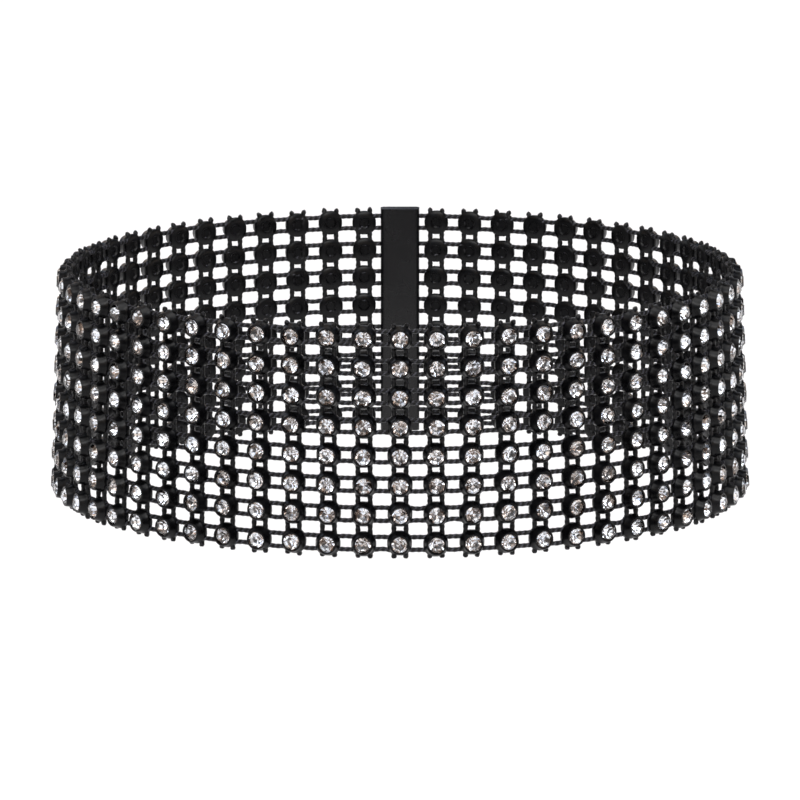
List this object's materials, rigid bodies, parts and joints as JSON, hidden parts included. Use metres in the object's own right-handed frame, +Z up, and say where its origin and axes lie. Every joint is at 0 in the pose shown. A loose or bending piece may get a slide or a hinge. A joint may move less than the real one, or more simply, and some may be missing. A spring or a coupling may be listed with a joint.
{
  "type": "choker necklace",
  "caption": "Wide rhinestone-mesh choker: clear faceted stones in black moulded settings, strung in rows on a net of black threads, with a plain bar clasp at the back.",
  "frame": {"origin": "middle of the neck opening, at half the band's height", "axes": "+X to the wearer's left, -Y to the front, +Z up along the neck"},
  "size_m": [0.116, 0.1076, 0.0384],
  "materials": {
    "setting_plastic": "black moulded plastic with a soft gloss",
    "thread": "black twisted two-ply cord",
    "crystal": "clear cut stone with a foiled back",
    "clasp_enamel": "gloss black enamel"
  },
  "bodies": {
    "root": {"net_left": "setting_plastic", "net_right": "setting_plastic", "clasp": "clasp_enamel"}
  },
  "joints": []
}
